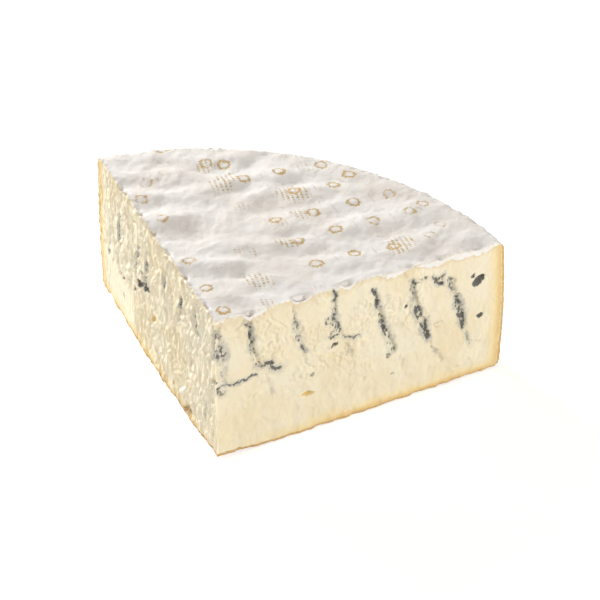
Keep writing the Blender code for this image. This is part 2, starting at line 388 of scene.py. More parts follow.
# The torn notch at the left face's lower edge.
NOTCH_PLACE = (29.0, 0.0)
NOTCH_HALF = (4.6, 6.8)
NOTCH_DEPTH = 2.2
FLAP_PLACE = (31.5, 8.6)
FLAP_HALF = (5.0, 1.1)
FLAP_TURN = 40.0


def face_direction(side):
    return np.array([side * math.sin(HALF_ANGLE), math.cos(HALF_ANGLE), 0.0])


def face_normal(side):
    return np.array([side * math.cos(HALF_ANGLE), -math.sin(HALF_ANGLE), 0.0])


def rag(side, s, z, coarse=1.0):
    """Small offsets along and up the face that break up every outline on it."""
    shift = 40.0 * side
    across = 0.80 * coarse * layered((s + shift) / 2.4, z / 2.4, 5.2, 4, 0.65)
    up = 0.80 * coarse * layered((s - shift) / 2.4, z / 2.4, 9.7, 4, 0.65, OTHER_NOISE)
    return s + across, z + up


def distance_to_line(s, z, points):
    """Signed distance to a polyline (positive on its left), and how far along it the nearest
    point lies, 0 to 1."""
    points = np.asarray(points, float)
    spans = np.linalg.norm(np.diff(points, axis=0), axis=1)
    starts = np.concatenate([[0], np.cumsum(spans)])
    nearest = np.full(s.shape, 1e9)
    hand = np.ones(s.shape)
    share = np.zeros(s.shape)
    for i, span in enumerate(spans):
        leg = (points[i + 1] - points[i]) / span
        from_s, from_z = s - points[i][0], z - points[i][1]
        along = np.clip(from_s * leg[0] + from_z * leg[1], 0, span)
        away = np.hypot(from_s - along * leg[0], from_z - along * leg[1])
        closer = away < nearest
        nearest = np.where(closer, away, nearest)
        hand = np.where(closer, np.sign(leg[0] * from_z - leg[1] * from_s), hand)
        share = np.where(closer, (starts[i] + along) / starts[-1], share)
    return nearest * hand, share


def track_layers(side, s, z):
    """Channel depth, dark mould and grey stain of the needle tracks and their branches."""
    ragged_s, ragged_z = rag(side, s, z)
    depth = np.zeros(s.shape)
    dark = np.zeros(s.shape)
    grey = np.zeros(s.shape)
    specks = layered(s / 0.9 + 30 * side, z / 1.7, 2.2, 2)
    patchy = layered(s / 3.1 + 30 * side, z / 4.2, 6.6, 2)
    for points, darkness, groove in TRACKS[side]:
        line = [(p[0], p[1]) for p in points]
        away, share = distance_to_line(ragged_s, ragged_z, line)
        widths = [p[2] for p in points]
        width = np.interp(share, np.linspace(0, 1, len(widths)), widths)
        across = away / width
        depth = np.maximum(depth, groove * step(1.1, 0.4, np.abs(across)))
        lips = np.exp(-((across + 0.62) / 0.30) ** 2) + 0.7 * np.exp(-((across - 0.70) / 0.26) ** 2)
        heart = step(0.9, 0.3, np.abs(across)) * (0.30 + 0.9 * specks + 0.7 * patchy)
        inked = lips * (0.78 + 1.0 * specks + 1.0 * patchy) + np.clip(heart, 0, 1)
        dark = np.maximum(dark, darkness * np.clip(inked, 0, 1.1))
        halo = step(3.4, 0.5, np.abs(across)) * (0.85 + 0.7 * patchy)
        grey = np.maximum(grey, (0.34 + 0.6 * darkness) * halo)
    for points, width, darkness in BRANCHES[side]:
        away, share = distance_to_line(ragged_s, ragged_z, points)
        across = np.abs(away) / width
        depth = np.maximum(depth, 0.45 * step(1.2, 0.3, across))
        dark = np.maximum(dark, darkness * step(1.25, 0.5, across) * (0.9 + 0.6 * specks))
        grey = np.maximum(grey, 0.9 * darkness * step(4.2, 0.8, across))
    return depth, np.clip(dark, 0, 1), np.clip(grey, 0, 1)


def cavity_layers(side, s, z):
    """Depth, mould and amber of the cavities."""
    ragged_s, ragged_z = rag(side, s, z, 0.7)
    depth = np.zeros(s.shape)
    dark = np.zeros(s.shape)
    amber = np.zeros(s.shape)
    for middle_s, middle_z, half_s, half_z, turn, deep, mould, warm in CAVITIES[side]:
        cos_t = math.cos(math.radians(turn))
        sin_t = math.sin(math.radians(turn))
        along = ((ragged_s - middle_s) * cos_t + (ragged_z - middle_z) * sin_t) / half_s
        across = (-(ragged_s - middle_s) * sin_t + (ragged_z - middle_z) * cos_t) / half_z
        out = np.hypot(along, across)
        bowl = step(1.1, 0.25, out)
        depth = np.maximum(depth, deep * bowl)
        dark = np.maximum(dark, mould * step(1.15, 0.75, out))
        amber = np.maximum(amber, warm * step(1.2, 0.7, out))
    return depth, dark, amber


def scales(value, count):
    """Overlapping scales: each contour of the value ends in a small cliff."""
    level = value * count
    rise = level - np.floor(level)
    return rise * step(1.0, 0.82, rise)


def torn_curd(side, s, z):
    """The relief of the cut itself: knife smears, flakes and soft lumps."""
    shift = 55.0 * side
    bend = 1.6 * layered((s + shift) / 9, z / 14, 5.5, 2)
    smear = layered((s + shift) / 0.9, z / 14, 0.7, 3)
    lumps = layered((s + shift) / 5.5, z / 7.5, 1.9, 3)
    if side == RIGHT:
        torn = step(-0.25, 0.3, layered(s / 15, z / 12, 3.3, 2)) * step(14, 27, z) * step(98, 74, s)
        torn = np.maximum(torn, step(8, 2, np.abs(s - 56)) * step(10, 16, z) * step(36, 24, z) * 0.8)
        curd = layered((s + shift + bend) / 5.2, z / 6.5, 4.4, 3, 0.5, OTHER_NOISE)
        smooth = step(22, 10, z) * 0.9 + 0.4
        faint = 0.20 * scales(layered((s + shift) / 7, z / 9, 9.1, 2), 2.2)
        return 0.012 * smear + 0.42 * lumps * smooth + 1.0 * scales(curd, 1.6) * torn + faint
    flakes = layered((s + shift + bend) / 5.4, z / 15, 6.1, 3, 0.5)
    small = layered((s + shift + bend) / 2.0, z / 10, 8.4, 2, 0.5, OTHER_NOISE)
    patch = step(-0.2, 0.4, layered(s / 7, z / 12, 1.1, 2))
    pits = np.minimum(0, layered((s + shift) / 2.3, z / 8, 2.6, 2, 0.5, OTHER_NOISE) + 0.42)
    calm = 1 - 0.85 * step(72, 84, s) * step(27, 16, z) - 0.45 * step(97, 106, s)
    relief = 1.0 * scales(flakes, 1.9) + 0.45 * scales(small, 1.2) * patch + 1.7 * pits + 0.5 * lumps
    return (relief + 0.04 * smear - 0.45) * calm


def notch_layers(side, s, z):
    """Depth of the torn notch, and how much brown rind shows in it."""
    if side == RIGHT:
        return np.zeros(s.shape), np.zeros(s.shape)
    ragged_s, ragged_z = rag(side, s, z, 1.3)
    lean = 0.55 * (ragged_z - NOTCH_PLACE[1])
    out = np.hypot((ragged_s - NOTCH_PLACE[0] + lean) / NOTCH_HALF[0],
                   (ragged_z - NOTCH_PLACE[1]) / NOTCH_HALF[1])
    patchy = 0.5 + 0.8 * layered(s / 1.6, z / 1.9, 4.9, 2)
    return NOTCH_DEPTH * step(1.05, 0.45, out), step(1.0, 0.7, out) * np.clip(patchy, 0.2, 1)


def flap_rise(s, z):
    """The bright flap of curd that hangs over the notch."""
    cos_t = math.cos(math.radians(FLAP_TURN))
    sin_t = math.sin(math.radians(FLAP_TURN))
    along = ((s - FLAP_PLACE[0]) * cos_t - (z - FLAP_PLACE[1]) * sin_t) / FLAP_HALF[0]
    across = ((s - FLAP_PLACE[0]) * sin_t + (z - FLAP_PLACE[1]) * cos_t) / FLAP_HALF[1]
    return step(1.1, 0.4, np.hypot(along, across))


def face_layers(side, s, z):
    """Everything on a cut face: its relief along the outward normal, and its colour layers."""
    channel, dark, grey = track_layers(side, s, z)
    hole, mould, amber = cavity_layers(side, s, z)
    notch, brown = notch_layers(side, s, z)
    relief = torn_curd(side, s, z) - channel - hole - notch
    flap = flap_rise(s, z) if side == LEFT else np.zeros(s.shape)
    relief = relief + 0.9 * flap
    draped = drape(side, s, z)
    relief = relief * (1 - draped) + (0.35 + 0.2 * layered(s / 3, z / 3, 2.2, 2)) * draped
    return relief, {
        "draped": draped,
        "flap": flap,
        "mould": np.maximum(dark, mould),
        "stain": np.clip(grey + 0.7 * mould, 0, 1),
        "amber": amber,
        "torn_rind": brown,
    }


# Where the white rind ends on the right cut face: distance from the tip, height.
DRAPE_EDGE = ((0, 54.6), (4, 55.4), (11, 55.2), (13, 51.8), (15, 53.6), (20, 54.4), (25, 55.6), (29, 55.2),
              (31.5, 52.8), (35, 53.2), (38, 54.6), (44, 54.8), (48, 53.2), (52, 52.6), (55, 54.6),
              (62, 54.4), (66, 52.2), (70, 51.8), (73, 53.0), (80, 52.6), (84, 51.2), (88, 50.4),
              (91, 51.6), (95, 50.4), (100, 50.6), (103, 49.6), (108, 50.8), (112, 51.4), (116, 51.6))


def drape(side, s, z):
    """How much of the face the white rind's draped edge covers, 0 to 1."""
    if side == LEFT:
        return np.zeros(s.shape)
    at, height = zip(*DRAPE_EDGE)
    uneven = 0.9 * layered(s / 1.9, z / 5.0, 3.7, 3, 0.6)
    edge = np.interp(s, at, height) + uneven
    return step(-0.35, 0.35, z - edge)


def edge_offset(side, s, where):
    """How the rind's cut edge strays from a clean cut: out along the face's normal, and up."""
    shift = 70.0 * side + (0 if where == "top" else 200)
    ragged = layered((s + shift) / 2.6, 0.3, 4.4, 4, 0.65)
    out = 0.45 * layered((s + shift) / 1.9, 3.3, 1.4, 3, 0.65) - RAGGED_INSET
    if where == "top":
        dips = sum(depth * np.exp(-((s - at) / width) ** 2) for at, depth, width in EDGE_DIPS[side])
        if side == LEFT:
            return 1.3 * out - 0.75 * dips, 0.45 * ragged - dips * 0.6
        return out - 0.3 * dips, 0.4 * ragged - dips * 0.85
    bites = layered((s + shift) / 7.5, 0.9, 2.4, 2)
    return out, np.maximum(0.45 * ragged + 0.55 * bites, -0.1)


def coons(bottom, top, near, far, a, b):
    """A surface between four boundary curves, at the grid of shares a (along) and b (up)."""
    a = a[None, :, None]
    b = b[:, None, None]
    ruled_up = (1 - b) * bottom[None] + b * top[None]
    ruled_along = (1 - a) * near[:, None] + a * far[:, None]
    corners = ((1 - a) * (1 - b) * bottom[0] + a * (1 - b) * bottom[-1]
               + (1 - a) * b * top[0] + a * b * top[-1])
    return ruled_up + ruled_along - corners


def shares_with_band(cells, length, bands):
    """Grid shares from 0 to 1 with narrow cells across the rind at the asked ends."""
    band = RIND_THICKNESS / length
    inner = cells - BAND_CELLS * sum(bands)
    start = band if bands[0] else 0.0
    stop = 1 - band if bands[1] else 1.0
    parts = [np.linspace(start, stop, inner + 1)]
    if bands[0]:
        parts.insert(0, np.linspace(0, start, BAND_CELLS, endpoint=False))
    if bands[1]:
        parts.append(np.linspace(stop, 1, BAND_CELLS + 1)[1:])
    return np.concatenate(parts)


def cut_face(side):
    """The whole cut face as a grid of points (rows up, columns out) with its colour layers, rind
    edges included."""
    columns = RIGHT_COLUMNS if side == RIGHT else LEFT_COLUMNS
    a = shares_with_band(columns, RADIUS, (False, True))
    b = shares_with_band(FACE_ROWS, LEVEL, (True, True))
    angle = side * HALF_ANGLE
    normal = face_normal(side)

    curves = {}
    strays = {}
    for where, surface in (("top", "top"), ("bottom", "base")):
        curve = rind_point(a, np.full(a.shape, angle), surface)
        distance = np.hypot(curve[:, 0], curve[:, 1])
        out, up = edge_offset(side, distance, where)
        up = up * step(RADIUS - 1, RADIUS - 5, distance)
        stray = normal * out[:, None]
        stray[:, 2] += up
        curves[where] = curve
        strays[where] = stray * step(0, 3.0, distance)[:, None]
    far = rind_point(1 - b, np.full(b.shape, angle), "side")
    far[0], far[-1] = curves["bottom"][-1], curves["top"][-1]
    far_stray = normal * rim_edge_offset(side, far[:, 2])[:, None]
    near = curves["bottom"][0] + b[:, None] * (curves["top"][0] - curves["bottom"][0])
    near = near + tip_wander(near[:, 2])[:, None] * np.array([0.0, 1.0, 0.0])
    points = coons(curves["bottom"], curves["top"], near, far, a, b)

    s = np.hypot(points[..., 0], points[..., 1])
    z = points[..., 2]
    relief, layers = face_layers(side, s, z)
    from_base = b[:, None] * LEVEL * np.ones(s.shape)
    from_top = (1 - b)[:, None] * LEVEL * np.ones(s.shape)
    columns_in = (1 - a)[None, :] * RADIUS * np.ones(s.shape)
    in_from_base = step(0, EDGE_FADE, from_base)
    in_from_top = step(0, EDGE_FADE, from_top)
    in_from_rim = step(0, EDGE_FADE, columns_in)
    calm = in_from_base * in_from_top * in_from_rim * step(0, 1.3, s)
    points = points + normal * ((relief - RAGGED_INSET) * calm)[..., None]
    points = points + strays["bottom"][None] * (1 - in_from_base)[..., None]
    points = points + strays["top"][None] * (1 - in_from_top)[..., None]
    beside_rim = (1 - in_from_rim) * in_from_base * in_from_top
    points = points + far_stray[:, None] * beside_rim[..., None]
    points[:, 0] = near
    layers["rim_near"] = step(11.0, 0.0, columns_in)
    layers["base_near"] = step(9.5, 0.0, from_base) * step(-40, 60, s)
    layers["top_near"] = under_rind(side, s, z)
    return points, layers


def under_rind(side, s, z):
    """The tan zone just beneath the white rind, widest near the tip."""
    if side == LEFT:
        return step(5.0, 0.5, top_height(*(s * face_direction(side)[i] for i in (0, 1))) - z)
    at, height = zip(*DRAPE_EDGE)
    reach = np.interp(s, (0, 30, 60, 100), (7.0, 5.0, 3.5, 2.5))
    return step(reach, 0.0, np.interp(s, at, height) - z)


def rim_edge_offset(side, z):
    return 0.4 * layered(z / 2.6, 90.0 * side, 2.0, 3) - RAGGED_INSET


def tip_wander(z):
    """The tip's edge is a little blunt and uneven."""
    return 0.35 + 0.3 * layered(z / 4.0, 0.5, 6.6, 3)


# ---- The rind --------------------------------------------------------------------------------
# Ring marks on the top: middle and strength.
RINGS = ((0.5, 8, 1.0), (-9.5, 18.5, 0.6), (-20, 31, 0.55), (20, 46, 0.8), (9.5, 56.5, 0.7),
         (30, 57, 1.0), (-1.5, 66.5, 0.75), (19.5, 68.5, 0.8), (41, 66, 0.8), (8.5, 77, 0.8),
         (30, 78.5, 0.45), (51, 77, 0.25), (-2, 87, 0.8), (19.5, 88.5, 0.7), (40, 88.5, 0.4),
         (-21, 88, 0.7), (-11, 97, 0.9), (9.5, 96.5, 0.85), (-31, 95, 0.7), (29.5, 98.5, 0.5),
         (42.5, 96, 0.6), (12.5, 105, 1.0), (1, 108, 0.7), (-52, 73.5, 0.3), (-49, 61.5, 0.4),
         (-38, 52, 0.4), (-37, 93, 0.5), (-55, 96, 0.45), (-48, 81, 0.15), (52, 86, 0.12))

# Patches where the draining cloth's mesh left rows of dots: middle, half sizes, strength.
DOT_PATCHES = ((5, 29, 6, 5, 0.8), (6, 54.5, 6, 3.5, 0.7), (-1, 65.5, 6, 3, 0.5), (43, 68, 5.5, 7, 0.9),
               (-27, 83, 5, 9, 0.8), (-37, 91, 4, 4.5, 0.6), (-2, 86, 6.5, 6.5, 0.9), (5, 74, 5, 4, 0.6),
               (-16, 71, 3, 3.5, 0.5), (-11, 31, 3, 3, 0.3), (12, 17, 3, 4, 0.5), (-22, 66, 3, 2, 0.25),
               (-34, 73, 5, 3, 0.25), (24, 33, 3, 3, 0.35), (-4, 104, 5, 4, 0.4), (53, 63, 3, 4, 0.25),
               (36, 75, 6, 5, 0.2), (9, 84, 3, 2, 0.4), (-7, 43, 2.5, 2.5, 0.5), (-2, 45, 2, 2, 0.6))


def ring_offsets(x, y):
    """Offset to the nearest ring mark and that ring's strength."""
    nearest = np.full(x.shape, 1e9)
    offset_x = np.full(x.shape, 99.0)
    offset_y = np.full(x.shape, 99.0)
    strength = np.zeros(x.shape)
    for ring_x, ring_y, shows in RINGS:
        away = np.hypot(x - ring_x, y - ring_y)
        closer = away < nearest
        nearest = np.where(closer, away, nearest)
        offset_x = np.where(closer, x - ring_x, offset_x)
        offset_y = np.where(closer, y - ring_y, offset_y)
        strength = np.where(closer, shows, strength)
    return offset_x, offset_y, strength


def dot_strength(x, y):
    total = np.zeros(x.shape)
    for middle_x, middle_y, half_x, half_y, shows in DOT_PATCHES:
        out = np.hypot((x - middle_x) / half_x, (y - middle_y) / half_y)
        total = np.maximum(total, shows * step(1.15, 0.55, out + 0.25 * NOISE(x / 2.5, y / 2.5, 8.8)))
    return total


def bloom_relief(points):
    """The rind's own bumps: felted mould, fine creases and small pits."""
    x, y, z = points[..., 0], points[..., 1], points[..., 2]
    felt = layered(x / 1.7, y / 1.7, z / 1.7, 3, 0.6)
    dune = layered(x / 6.5, y / 6.5, z / 6.5, 2, 0.5, OTHER_NOISE)
    knots = layered(x / 3.4, y / 3.4, z / 3.4, 2, 0.5)
    return 0.07 * felt + 0.30 * dune + 0.13 * knots


def cut_pull(points, where):
    """Moves the rind's skin so that it ends on the cut faces' ragged edges."""
    x, y = points[..., 0], points[..., 1]
    moved = points.copy()
    for side in (RIGHT, LEFT):
        normal = face_normal(side)
        inside = -(x * normal[0] + y * normal[1])
        distance = np.hypot(x, y)
        out, up = edge_offset(side, distance, where)
        pull = np.exp(-(inside / PULL_REACH) ** 2)
        pull = pull * step(0, 3.0, distance)
        up = up * step(RADIUS - 1, RADIUS - 5, distance)
        moved = moved + normal * (out * pull)[..., None]
        moved[..., 2] += up * pull
    return moved


def square_to_sector(cells):
    """Shares and angles that map a square grid onto the sector: row 0 lies on the right cut
    and column 0 on the left cut."""
    u, v = np.meshgrid(np.linspace(0, 1, cells + 1), np.linspace(0, 1, cells + 1))
    share = np.maximum(u, v)
    safe = np.where(share > 0, share, 1)
    angle = np.where(u >= v, HALF_ANGLE * (1 - v / safe), -HALF_ANGLE * (1 - u / safe))
    return share, angle


def away_from_edges(points):
    """0 at the cut faces, 1 a little way in."""
    x, y = points[..., 0], points[..., 1]
    calm = np.ones(x.shape)
    for side in (RIGHT, LEFT):
        normal = face_normal(side)
        calm = calm * step(0, 2.2, -(x * normal[0] + y * normal[1]))
    return calm


def skin(cells, surface):
    """The top's or the base's outer grid."""
    share, angle = square_to_sector(cells)
    points = rind_point(share, angle, surface)
    bumps = bloom_relief(points) * away_from_edges(points)
    if surface == "base":
        bumps = np.abs(bumps) * 0.5
        bumps = bumps * step(0.999, 0.97, share)
    else:
        bumps = bumps * step(1.0, 0.97, share)
    moved = cut_pull(points, "top" if surface == "top" else "bottom")
    moved[..., 2] += bumps
    return moved


def side_skin():
    """The rounded side's outer grid: rows from the shoulder down, columns from right to left."""
    angle = np.linspace(HALF_ANGLE, -HALF_ANGLE, SIDE_COLUMNS + 1)
    share = np.linspace(0, 1, SIDE_ROWS + 1)
    share_grid, angle_grid = np.meshgrid(share, angle, indexing="ij")
    points = rind_point(share_grid, angle_grid, "side")
    outward = np.stack([np.sin(angle_grid), np.cos(angle_grid), np.zeros(angle_grid.shape)], -1)
    calm = step(0, 0.03, share_grid) * step(1, 0.97, share_grid)
    bumps = (bloom_relief(points) * 1.3 - 0.25) * calm * away_from_edges(points)
    points = points + outward * bumps[..., None]
    for side in (RIGHT, LEFT):
        pull = np.exp(-((RADIUS * (HALF_ANGLE - side * angle_grid)) / PULL_REACH) ** 2) * calm
        points = points + face_normal(side) * (rim_edge_offset(side, points[..., 2]) * pull)[..., None]
    return points


# ---- Meshes from patches -----------------------------------------------------------------------
# Faces in one group are shaded smooth, and groups meet in a sharp edge.
SKIN_GROUP = 0
CUT_GROUPS = {RIGHT: 1, LEFT: 2}
WALL_GROUP = 3
HIDDEN_GROUPS = {"top": 4, "base": 5}
WALL_RINGS = 13


class Shell:
    """A mesh put together from grids of points, with their shared borders zipped shut."""

    def __init__(self):
        self.points = []
        self.layers = []
        self.faces = []
        self.groups = []
        self.count = 0

    def add(self, points, layers):
        """Adds a grid's points without faces and returns their index grid."""
        shape = points.shape[:-1]
        index = self.count + np.arange(int(np.prod(shape))).reshape(shape)
        self.count += index.size
        self.points.append(points.reshape(-1, 3))
        self.layers.append({name: np.broadcast_to(value, shape).ravel() for name, value in layers.items()})
        return index

    def quads(self, index, group, flip=False):
        corners = (index[:-1, :-1], index[:-1, 1:], index[1:, 1:], index[1:, :-1])
        if flip:
            corners = corners[::-1]
        made = np.stack([c.ravel() for c in corners], -1)
        self.faces += made.tolist()
        self.groups += [group] * len(made)

    def zip(self, first, second, group):
        """Triangles between two rows of vertices that run along the same curve."""
        first, second = list(first), list(second)
        i = j = 0
        while i < len(first) - 1 or j < len(second) - 1:
            next_i = (i + 1) / (len(first) - 1)
            next_j = (j + 1) / (len(second) - 1)
            if j == len(second) - 1 or (i < len(first) - 1 and next_i <= next_j):
                self.faces.append([first[i], first[i + 1], second[j]])
                i += 1
            else:
                self.faces.append([first[i], second[j + 1], second[j]])
                j += 1
            self.groups.append(group)

    def object(self, name, layer_names):
        points = np.concatenate(self.points) * MM + TIP
        mesh = bpy.data.meshes.new(name)
        mesh.from_pydata(points, [], self.faces)
        for layer in layer_names:
            values = np.concatenate([made.get(layer, np.zeros(len(p)))
                                     for made, p in zip(self.layers, self.points)])
            attribute = mesh.attributes.new(layer, "FLOAT", "POINT")
            attribute.data.foreach_set("value", values.astype(np.float32))
        group = mesh.attributes.new("group", "INT", "FACE")
        group.data.foreach_set("value", np.array(self.groups, np.int32))
        weld_and_crease(mesh)
        made = bpy.data.objects.new(name, mesh)
        bpy.context.scene.collection.objects.link(made)
        return made


def weld_and_crease(mesh):
    shape = bmesh.new()
    shape.from_mesh(mesh)
    bmesh.ops.remove_doubles(shape, verts=shape.verts, dist=0.002 * MM)
    bmesh.ops.recalc_face_normals(shape, faces=shape.faces)
    if shape.calc_volume(signed=True) < 0:
        bmesh.ops.reverse_faces(shape, faces=shape.faces)
    group = shape.faces.layers.int["group"]
    for face in shape.faces:
        face.smooth = True
    for edge in shape.edges:
        edge.smooth = len({face[group] for face in edge.link_faces}) == 1
    shape.to_mesh(mesh)
    shape.free()


def make_paste(faces):
    """The cheese inside its rind: both cut faces, closed behind by plain walls."""
    shell = Shell()
    inner = {}
    for side in (RIGHT, LEFT):
        points, layers = faces[side]
        rows = slice(BAND_CELLS, -BAND_CELLS)
        columns = slice(0, -BAND_CELLS)
        part = points[rows, columns]
        index = shell.add(part, {name: layer[rows, columns] for name, layer in layers.items()})
        shell.quads(index, CUT_GROUPS[side], flip=(side == LEFT))
        inner[side] = (index, part)

    right_index, right = inner[RIGHT]
    left_index, left = inner[LEFT]
    wall_index = shell.add(hidden_wall(right[:, -1], left[:, -1]), {})
    shell.quads(wall_index, WALL_GROUP)
    close_hidden(shell, (right_index[0], wall_index[0], left_index[0]), "base", False)
    close_hidden(shell, (right_index[-1], wall_index[-1], left_index[-1]), "top", True)
    return shell


def hidden_wall(right_rim, left_rim):
    """A plain wall under the side's rind: the right cut's rim line swept round to the left's."""
    rings = []
    for share in np.linspace(0, 1, WALL_RINGS):
        angle = HALF_ANGLE * (1 - 2 * share)
        reach = (np.hypot(right_rim[:, 0], right_rim[:, 1]) * (1 - share)
                 + np.hypot(left_rim[:, 0], left_rim[:, 1]) * share)
        height = right_rim[:, 2] * (1 - share) + left_rim[:, 2] * share
        rings.append(np.stack([reach * math.sin(angle), reach * math.cos(angle), height], -1))
    rings[0], rings[-1] = right_rim, left_rim
    return np.stack(rings, 1)


def close_hidden(shell, borders, surface, outward_up):
    """Closes a hidden side with a coarse copy of the top or base that lies under the rind."""
    share, angle = square_to_sector(HIDDEN_CELLS)
    start = HIDDEN_INSET / math.sin(HALF_ANGLE)
    reach = share * (RADIUS - start - HIDDEN_INSET)
    x, y = reach * np.sin(angle), start + reach * np.cos(angle)
    if surface == "top":
        z = top_height(x, y) - HIDDEN_DROP
    else:
        z = base_height(x, y) + HIDDEN_DROP
    points = np.stack([x, y, z], -1)
    index = shell.add(points, {})
    group = HIDDEN_GROUPS[surface]
    shell.quads(index, group, flip=not outward_up)
    right_border, far_border, left_border = borders
    arc = list(index[:, -1]) + list(index[-1, ::-1][1:])
    shell.zip(right_border, index[0], group)
    shell.zip(index[:, 0], left_border, group)
    shell.zip(far_border, arc, group)


def edge_layers(name, layers, rows, columns):
    """The cut edge is golden along the base and rim, and white with a tan underside on top."""
    torn = layers["torn_rind"][rows, columns]
    if name == "top":
        under = np.linspace(1, 0, torn.shape[0])[:, None]
        return {"crown": np.ones(torn.shape), "crown_edge": under, "torn_rind": torn}
    return {"cut_edge": np.ones(torn.shape), "torn_rind": torn}


def make_rind(faces):
    """The rind: top, side and base skins, their cut edges, and a plain inner wall."""
    shell = Shell()
    top = skin(TOP_CELLS, "top")
    offset_x, offset_y, strength = ring_offsets(top[..., 0], top[..., 1])
    top_layers = {"ring_x": offset_x, "ring_y": offset_y, "ring": strength,
                  "dots": dot_strength(top[..., 0], top[..., 1]),
                  "crown": np.ones(top.shape[:-1])}
    base = skin(BASE_CELLS, "base")
    wall = side_skin()
    top_index = shell.add(top, top_layers)
    base_index = shell.add(base, {})
    wall_index = shell.add(wall, {})
    shell.quads(top_index, SKIN_GROUP)
    shell.quads(base_index, SKIN_GROUP, flip=True)
    shell.quads(wall_index, SKIN_GROUP, flip=True)

    # The arcs run from the right cut round to the left cut.
    top_arc = list(top_index[:, -1]) + list(top_index[-1, ::-1][1:])
    base_arc = list(base_index[:, -1]) + list(base_index[-1, ::-1][1:])
    shell.zip(top_arc, wall_index[0], SKIN_GROUP)
    shell.zip(wall_index[-1], base_arc, SKIN_GROUP)

    rims = {}
    for side in (RIGHT, LEFT):
        points, layers = faces[side]
        index = np.full(points.shape[:-1], -1)
        group = CUT_GROUPS[side]
        blocks = (("bottom", slice(0, BAND_CELLS + 1), slice(None)),
                  ("top", slice(-BAND_CELLS - 1, None), slice(None)),
                  ("rim", slice(BAND_CELLS, -BAND_CELLS), slice(-BAND_CELLS - 1, None)))
        for name, rows, columns in blocks:
            part = points[rows, columns]
            made = shell.add(part, edge_layers(name, layers, rows, columns))
            shell.quads(made, group, flip=(side == LEFT))
            index[rows, columns] = made
        rims[side] = (index, points)

    top_edges = {RIGHT: top_index[0], LEFT: top_index[:, 0]}
    base_edges = {RIGHT: base_index[0], LEFT: base_index[:, 0]}
    side_columns = {RIGHT: wall_index[::-1, 0], LEFT: wall_index[::-1, -1]}
    for side in (RIGHT, LEFT):
        index, _ = rims[side]
        group = CUT_GROUPS[side]
        shell.zip(index[-1], top_edges[side], group)
        shell.zip(base_edges[side], index[0], group)
        shell.zip(side_columns[side], index[:, -1], group)

    close_inner_wall(shell, rims)
    return shell


def close_inner_wall(shell, rims):
    """The rind's hidden inner surface, between the two cut edges' inner lines."""
    lines = {}
    for side in (RIGHT, LEFT):
        index, points = rims[side]
        lines[side] = {
            "top": index[-BAND_CELLS - 1, :index.shape[1] - BAND_CELLS],
            "bottom": index[BAND_CELLS, :index.shape[1] - BAND_CELLS],
            "rim": points[BAND_CELLS:-BAND_CELLS, -BAND_CELLS - 1],
        }
    wall_index = shell.add(hidden_wall(lines[RIGHT]["rim"], lines[LEFT]["rim"]), {})
    shell.quads(wall_index, WALL_GROUP, flip=True)
    for row, name, surface in ((0, "bottom", "base"), (-1, "top", "top")):
        borders = (lines[RIGHT][name], wall_index[row], lines[LEFT][name])
        close_hidden(shell, borders, surface, surface == "base")


# ---- Materials -----------------------------------------------------------------------------------
IVORY = (0.865, 0.765, 0.550, 1)
IVORY_LIGHT = (0.885, 0.805, 0.620, 1)
IVORY_DEEP = (0.80, 0.66, 0.38, 1)
CURD_WHITE = (0.92, 0.89, 0.80, 1)
CROWN_TAN = (0.72, 0.55, 0.30, 1)
YELLOW = (0.87, 0.68, 0.32, 1)
GOLD = (0.76, 0.52, 0.21, 1)
AMBER = (0.78, 0.55, 0.17, 1)
STAIN = (0.50, 0.485, 0.43, 1)
MOULD = (0.092, 0.090, 0.080, 1)
MOULD_PALE = (0.36, 0.38, 0.35, 1)
TORN_RIND = (0.50, 0.36, 0.19, 1)
RIND_WHITE = (0.900, 0.868, 0.825, 1)
RIND_SHADE = (0.845, 0.795, 0.735, 1)
RIND_TAN = (0.62, 0.42, 0.165, 1)
CROWN_EDGE = (0.78, 0.63, 0.40, 1)
RIND_GOLD = (0.66, 0.43, 0.17, 1)


